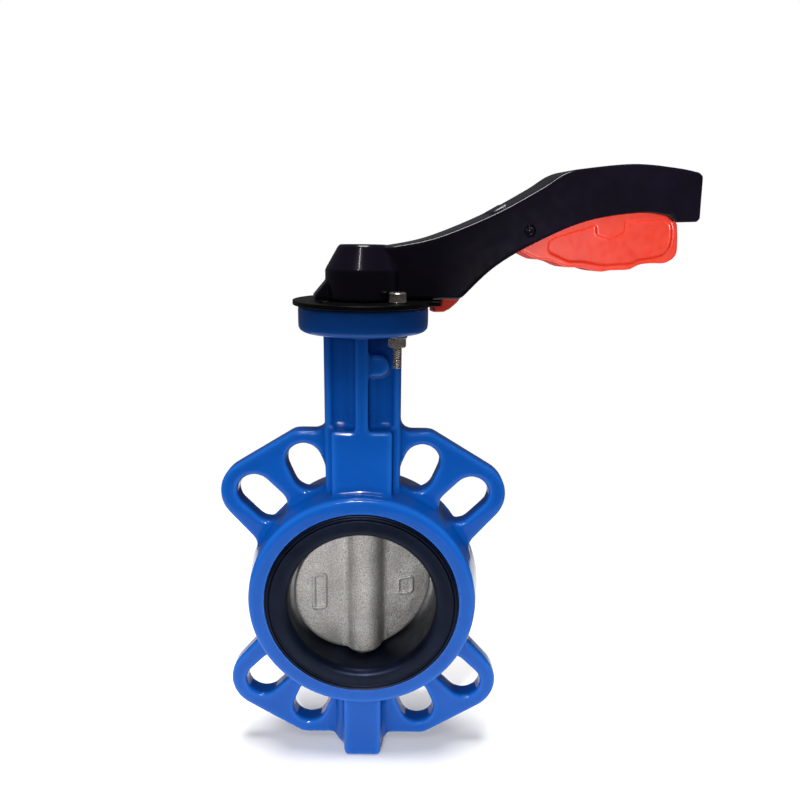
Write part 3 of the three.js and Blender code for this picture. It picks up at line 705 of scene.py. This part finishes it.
def smooth_line(points, steps):
    """A soft curve through all the points."""
    line = []
    last = len(points) - 1
    for i in range(steps + 1):
        at = i * last / steps
        k = min(int(at), last - 1)
        t = at - k
        p = [points[min(max(k + j, 0), last)] for j in (-1, 0, 1, 2)]
        line.append(tuple(
            0.5 * (2 * b + (c - a) * t + (2 * a - 5 * b + 4 * c - d) * t ** 2
                   + (3 * b - a - 3 * c + d) * t ** 3)
            for a, b, c, d in zip(*p)))
    return line


arm_top = smooth_line([
    (13.3, 188.9), (35.7, 193.5), (65.8, 205.2), (91.2, 218.4), (104.6, 226.4),
    (117, 229.2), (146, 232.4), (172, 231.2), (185.5, 229.4)], 110)
arm_under = smooth_line([
    (168.7, 206.2), (150.4, 207.3), (118.5, 202.2), (88.4, 190.1), (67.3, 178.2), (50.7, 163.4)], 80)
arm = prism([
    [(0, HUB_TOP - 0.6)] + arm_top + [(188, 227.5), (189, 205), (187.5, 203.2), (173.1, 203.1)]
    + arm_under + [(48.4, LEVER_LOW), (0, LEVER_LOW)]], -ARM_HALF, ARM_HALF, edge=1.6)
roof = [(x, z - WALL) for x, z in arm_top if 28 < x < 183]
hollow = prism([
    [(24, 150), (24, 187)] + roof + [(184.5, 224), (184.5, 195), (189, 150)]],
    WALL - ARM_HALF, ARM_HALF - WALL)
arm = cut(arm, hollow)
hub = turned([
    (0, LEVER_LOW), (19.4, LEVER_LOW), (19.4, 177), (12.9, 188.3), (11.8, HUB_TOP), (0, HUB_TOP)], steps=128)
fin = prism([[(-14, LEVER_LOW), (-25.4, LEVER_LOW), (-25.4, 164.6), (-19, 172), (-14, 172)]], -4.5, 4.5)
stop_pad = prism([[(66, 203), (66.2, 206.2), (74.4, 210.6), (76, 208)]], -5, 5)
lever = cast(merged(arm, hub, fin, stop_pad), 0.62, 3)
lever = cut(lever, merged(
    box(-SQUARE_HALF, SQUARE_HALF, -SQUARE_HALF, SQUARE_HALF, 150, SQUARE_TOP),
    moved(turned([(0, -25), (PIN_HOLE_R, -25), (PIN_HOLE_R, 25), (0, 25)], "Y", 48), PIVOT_X, 0, PIVOT_Z),
    moved(turned([(0, -14), (GRUB_HOLE_R, -14), (GRUB_HOLE_R, 11), (0, 11)], "Y", 48), 0, 14, GRUB_Z)))
lever = cut(lever, turned([(0, DISH_FLOOR), (DISH_R, DISH_FLOOR), (DISH_R, 200), (0, 200)], steps=64))
lever.transform(Matrix.Rotation(REST, 4, "Z"))

enamel, tree, shader, place = new_finish(
    "black_enamel", Specular_IOR_Level=0.12, Coat_Weight=0.2, Coat_Roughness=0.03)
drift = spread(tree, grain(tree, place, 18, 4), 0.35, 0.7)
tree.links.new(tinted(tree, drift, linear("#120E1A"), linear("#171222")), shader.inputs["Base Color"])
tree.links.new(spread(tree, grain(tree, place, 5, 4), 0.3, 0.7, 0.16, 0.24), shader.inputs["Roughness"])
fine = bumped(tree, grain(tree, place, 1.4, 2), 0.015, 0.3)
tree.links.new(bumped(tree, grain(tree, place, 14, 2), 0.12, 0.25, fine), shader.inputs["Normal"])
finished("lever_casting", lever, "turning", enamel, ["lever_handle"], 50)

# ---------------------------------------------------------------- trigger pin
# Pin dished at both ends where it is peened, and enamelled over with the arm. Only the ends have
# the pin's true shape: between them, inside the arm, the shell is two crossing cones.
PIN_HALF = 10.4
pin_end = [(0, PIN_HALF - 1.1), (1.7, PIN_HALF - 0.6), (2.2, PIN_HALF), (2.7, PIN_HALF), (3, PIN_HALF - 0.4)]
pin = turned([(r, -y) for r, y in reversed(pin_end)] + list(reversed(pin_end)), "Y", 64)
pin = moved(pin, PIVOT_X, 0, PIVOT_Z)
pin.transform(Matrix.Rotation(REST, 4, "Z"))
finished("peened_pin", pin, "turning", enamel, ["trigger_pin"], 40)

# ---------------------------------------------------------------- trigger
# Moulded nylon, orange red: finger grip with a raised rim round a sunk panel, and the latch nose.
fingers = smooth_line([
    (83.7, 186.6), (88.1, 184.5), (93.3, 182.5), (98.5, 182.1), (103.7, 180.9), (107.6, 179.3),
    (111.4, 178.3), (116.7, 178.3), (122, 177.8), (126.7, 176.6), (132.2, 175.9), (137.5, 176.6),
    (148.5, 177), (152.3, 178.4), (156.1, 179.8), (162.4, 180.5), (170.5, 180.5), (174.4, 181.7),
    (177.4, 183.8), (178.8, 187.3), (178.2, 195.5)], 160)
grip = fingers + [
    (177.2, 201.5), (175.6, 204.2), (172, 206.5), (150, 210), (120, 209), (100, 207), (88, 205.6),
    *arc(PIVOT_X, PIVOT_Z, 8.6, 90, 190, 16)]
latch = [
    (90, 205), (81.5, 204), (64, 190.5), (52, 181.5), (44.5, 172.5), (41.8, 166), (41.1, 162.3),
    (41.1, 159.3), (36.9, 159.3), (36.9, 155), (42.2, 155), (45.6, 156.6), (48.3, 158.8),
    (50.1, 160.4), (53, 165), (59, 174.2), (68, 181.8), (80, 189.4)]
panel = smooth_line([
    (98.8, 188.1), (100.5, 185.8), (104.5, 184.2), (111.5, 181.6), (122, 181), (132.5, 179.4),
    (141, 179.8), (149.2, 180.3), (155.3, 182.4), (160, 182.9), (169.4, 185), (173.3, 189.3),
    (174.3, 194.7)], 96)
tab = [
    (143.8, 203), (144, 197.4), (138.4, 194.2), (134.6, 193.8), (130.7, 194.6), (127.3, 195.7),
    (126.5, 200.4)]
recess = panel + [
    (173.8, 199.5), (172.5, 202.5), (168.7, 203.4), *tab, (113.9, 197), (102.4, 193.6), (99.3, 191.3)]
GRIP_HALF, LATCH_HALF, SUNK = 7.5, 4.5, 1.3
sinks = merged(
    prism([recess], GRIP_HALF - SUNK, GRIP_HALF + 1),
    prism([recess], -GRIP_HALF - 1, SUNK - GRIP_HALF))
grip_body = cut(prism([grip], -GRIP_HALF, GRIP_HALF, edge=1.2), sinks)
trigger = cast(merged(grip_body, prism([latch], -LATCH_HALF, LATCH_HALF, edge=0.6)), 0.42, 2)
pivot_hole = turned([(0, -20), (PIN_HOLE_R, -20), (PIN_HOLE_R, 20), (0, 20)], "Y", 48)
trigger = cut(trigger, moved(pivot_hole, PIVOT_X, 0, PIVOT_Z))
trigger.transform(Matrix.Rotation(REST, 4, "Z"))

nylon, tree, shader, place = new_finish("orange_red_nylon", IOR=1.53, Coat_Weight=0.25, Coat_Roughness=0.12)
cloudy = spread(tree, grain(tree, place, 16, 4), 0.3, 0.7)
tree.links.new(tinted(tree, cloudy, linear("#F83A20"), linear("#FF4328")), shader.inputs["Base Color"])
tree.links.new(spread(tree, grain(tree, place, 4, 4), 0.3, 0.7, 0.3, 0.44), shader.inputs["Roughness"])
tree.links.new(bumped(tree, grain(tree, place, 1.0, 3), 0.06, 0.5), shader.inputs["Normal"])
finished("trigger_grip", trigger, "trigger", nylon, ["trigger_lever"], 50)

# ---------------------------------------------------------------- latch tooth
# Small block on the foot of the latch; it stands up into one of the plate's notches.
TOOTH_NEAR, TOOTH_FAR, TOOTH_LOW, TOOTH_TOP, TOOTH_HALF = 36.6, 43.4, 158.4, 162.3, 2.2
tooth_side = [
    (TOOTH_NEAR, TOOTH_LOW), (TOOTH_FAR, TOOTH_LOW), (TOOTH_FAR, TOOTH_TOP), (TOOTH_NEAR, TOOTH_TOP)]
tooth_block = prism([tooth_side], -TOOTH_HALF, TOOTH_HALF, edge=0.25)
tooth_block.transform(Matrix.Rotation(REST, 4, "Z"))
finished("notch_tooth", tooth_block, "trigger", nylon, ["latch_tooth"], 30)

# ---------------------------------------------------------------- trigger spring
# Cold coiled steel wire between the grip and the roof of the arm.
SPRING_X, SPRING_LOW = 118, 210.0

spiral = bpy.data.node_groups.new("coil", "GeometryNodeTree")
for label in ("Radius", "Wire", "Height", "Turns"):
    spiral.interface.new_socket(label, in_out="INPUT", socket_type="NodeSocketFloat")
spiral.interface.new_socket("Finish", in_out="INPUT", socket_type="NodeSocketMaterial")
spiral.interface.new_socket("Geometry", in_out="OUTPUT", socket_type="NodeSocketGeometry")
given = add(spiral, "NodeGroupInput").outputs
coil = add(spiral, "GeometryNodeCurveSpiral", {
    "Resolution": 48, "Rotations": given["Turns"], "Start Radius": given["Radius"],
    "End Radius": given["Radius"], "Height": given["Height"]}).outputs[0]
section = add(spiral, "GeometryNodeCurvePrimitiveCircle", {
    "Resolution": 10, "Radius": given["Wire"]}).outputs[0]
wire = add(spiral, "GeometryNodeCurveToMesh", {
    "Curve": coil, "Profile Curve": section, "Fill Caps": True}).outputs[0]
real = add(spiral, "GeometryNodeRealizeInstances", {"Geometry": wire}).outputs[0]
dressed = add(spiral, "GeometryNodeSetMaterial", {
    "Geometry": real, "Material": given["Finish"]}).outputs[0]
add(spiral, "NodeGroupOutput", {"Geometry": dressed})

holder = new_object("holder", bpy.data.meshes.new("holder"))
modifier = holder.modifiers.new("coil", "NODES")
modifier.node_group = spiral
sizes = {"Radius": 4.0, "Wire": 0.6, "Height": 15.2, "Turns": 5.5, "Finish": spring_steel}
for item in spiral.interface.items_tree:
    if item.in_out == "INPUT":
        modifier[item.identifier] = sizes[item.name]
spring = baked(holder)
spring.transform(Matrix.Rotation(REST, 4, "Z") @ Matrix.Translation((SPRING_X, 0, SPRING_LOW)))
finished("trigger_coil_spring", spring, "turning", spring_steel, ["trigger_spring"], 60)

# ---------------------------------------------------------------- studio
# A pale round floor under a soft overhead light, a lamp on the body from the front, one on the
# grip from the right, and a narrow strip on the ceiling for the crisp highlights.
FLOOR_R = 0.38
FLOOR_DROP = 0.0002

floor_mesh = bpy.data.meshes.new("floor")
bm = bmesh.new()
bmesh.ops.create_circle(bm, cap_ends=True, radius=FLOOR_R, segments=96)
bm.to_mesh(floor_mesh)
bm.free()
floor_mesh.transform(Matrix.Translation((0, 0, cad_box[0][2] - FLOOR_DROP)))
paper, tree, shader, place = new_finish("white_paper", Roughness=0.9)
mottle = spread(tree, grain(tree, place, 60, 2), 0.3, 0.7)
tree.links.new(tinted(tree, mottle, linear("#F4F4F4"), linear("#F7F7F7")), shader.inputs["Base Color"])
floor_mesh.materials.append(paper)
floor = new_object("floor", floor_mesh)

world = bpy.data.worlds.new("studio")
world.use_nodes = True
scene.world = world
tree = world.node_tree
background = tree.nodes["Background"]
seen = add(tree, "ShaderNodeLightPath").outputs["Is Camera Ray"]
glow = tinted(tree, seen, linear("#FFFFFF", 0.09), linear("#FFFFFF", 1.0))
tree.links.new(glow, background.inputs["Color"])


def lamp(name, kind, position, aim, energy, **settings):
    light = bpy.data.lights.new(name, kind)
    light.energy = energy
    for key, value in settings.items():
        setattr(light, key, value)
    holder = bpy.data.objects.new(name, light)
    holder.location = position
    holder.rotation_euler = (Vector(aim) - Vector(position)).to_track_quat("-Z", "Y").to_euler()
    scene.collection.objects.link(holder)


lamp("overhead", "SUN", (0, 0, 1.5), (0, 0, 0), 3.5, angle=math.radians(24))
lamp("body_spot", "SPOT", (-0.12, -1.33, 0.42), (0, 0, -0.053), 82,
     spot_size=math.radians(13.6), spot_blend=0.2, shadow_soft_size=0.04)
lamp("grip_spot", "SPOT", (0.5, -0.75, 0.05), (0.145, 0.04, 0.19), 19,
     spot_size=math.radians(12), spot_blend=0.5, shadow_soft_size=0.03)
lamp("ceiling_strip", "AREA", (-0.2, -0.75, 1.25), (0, 0, 0.1), 3,
     shape="RECTANGLE", size=0.025, size_y=0.5)
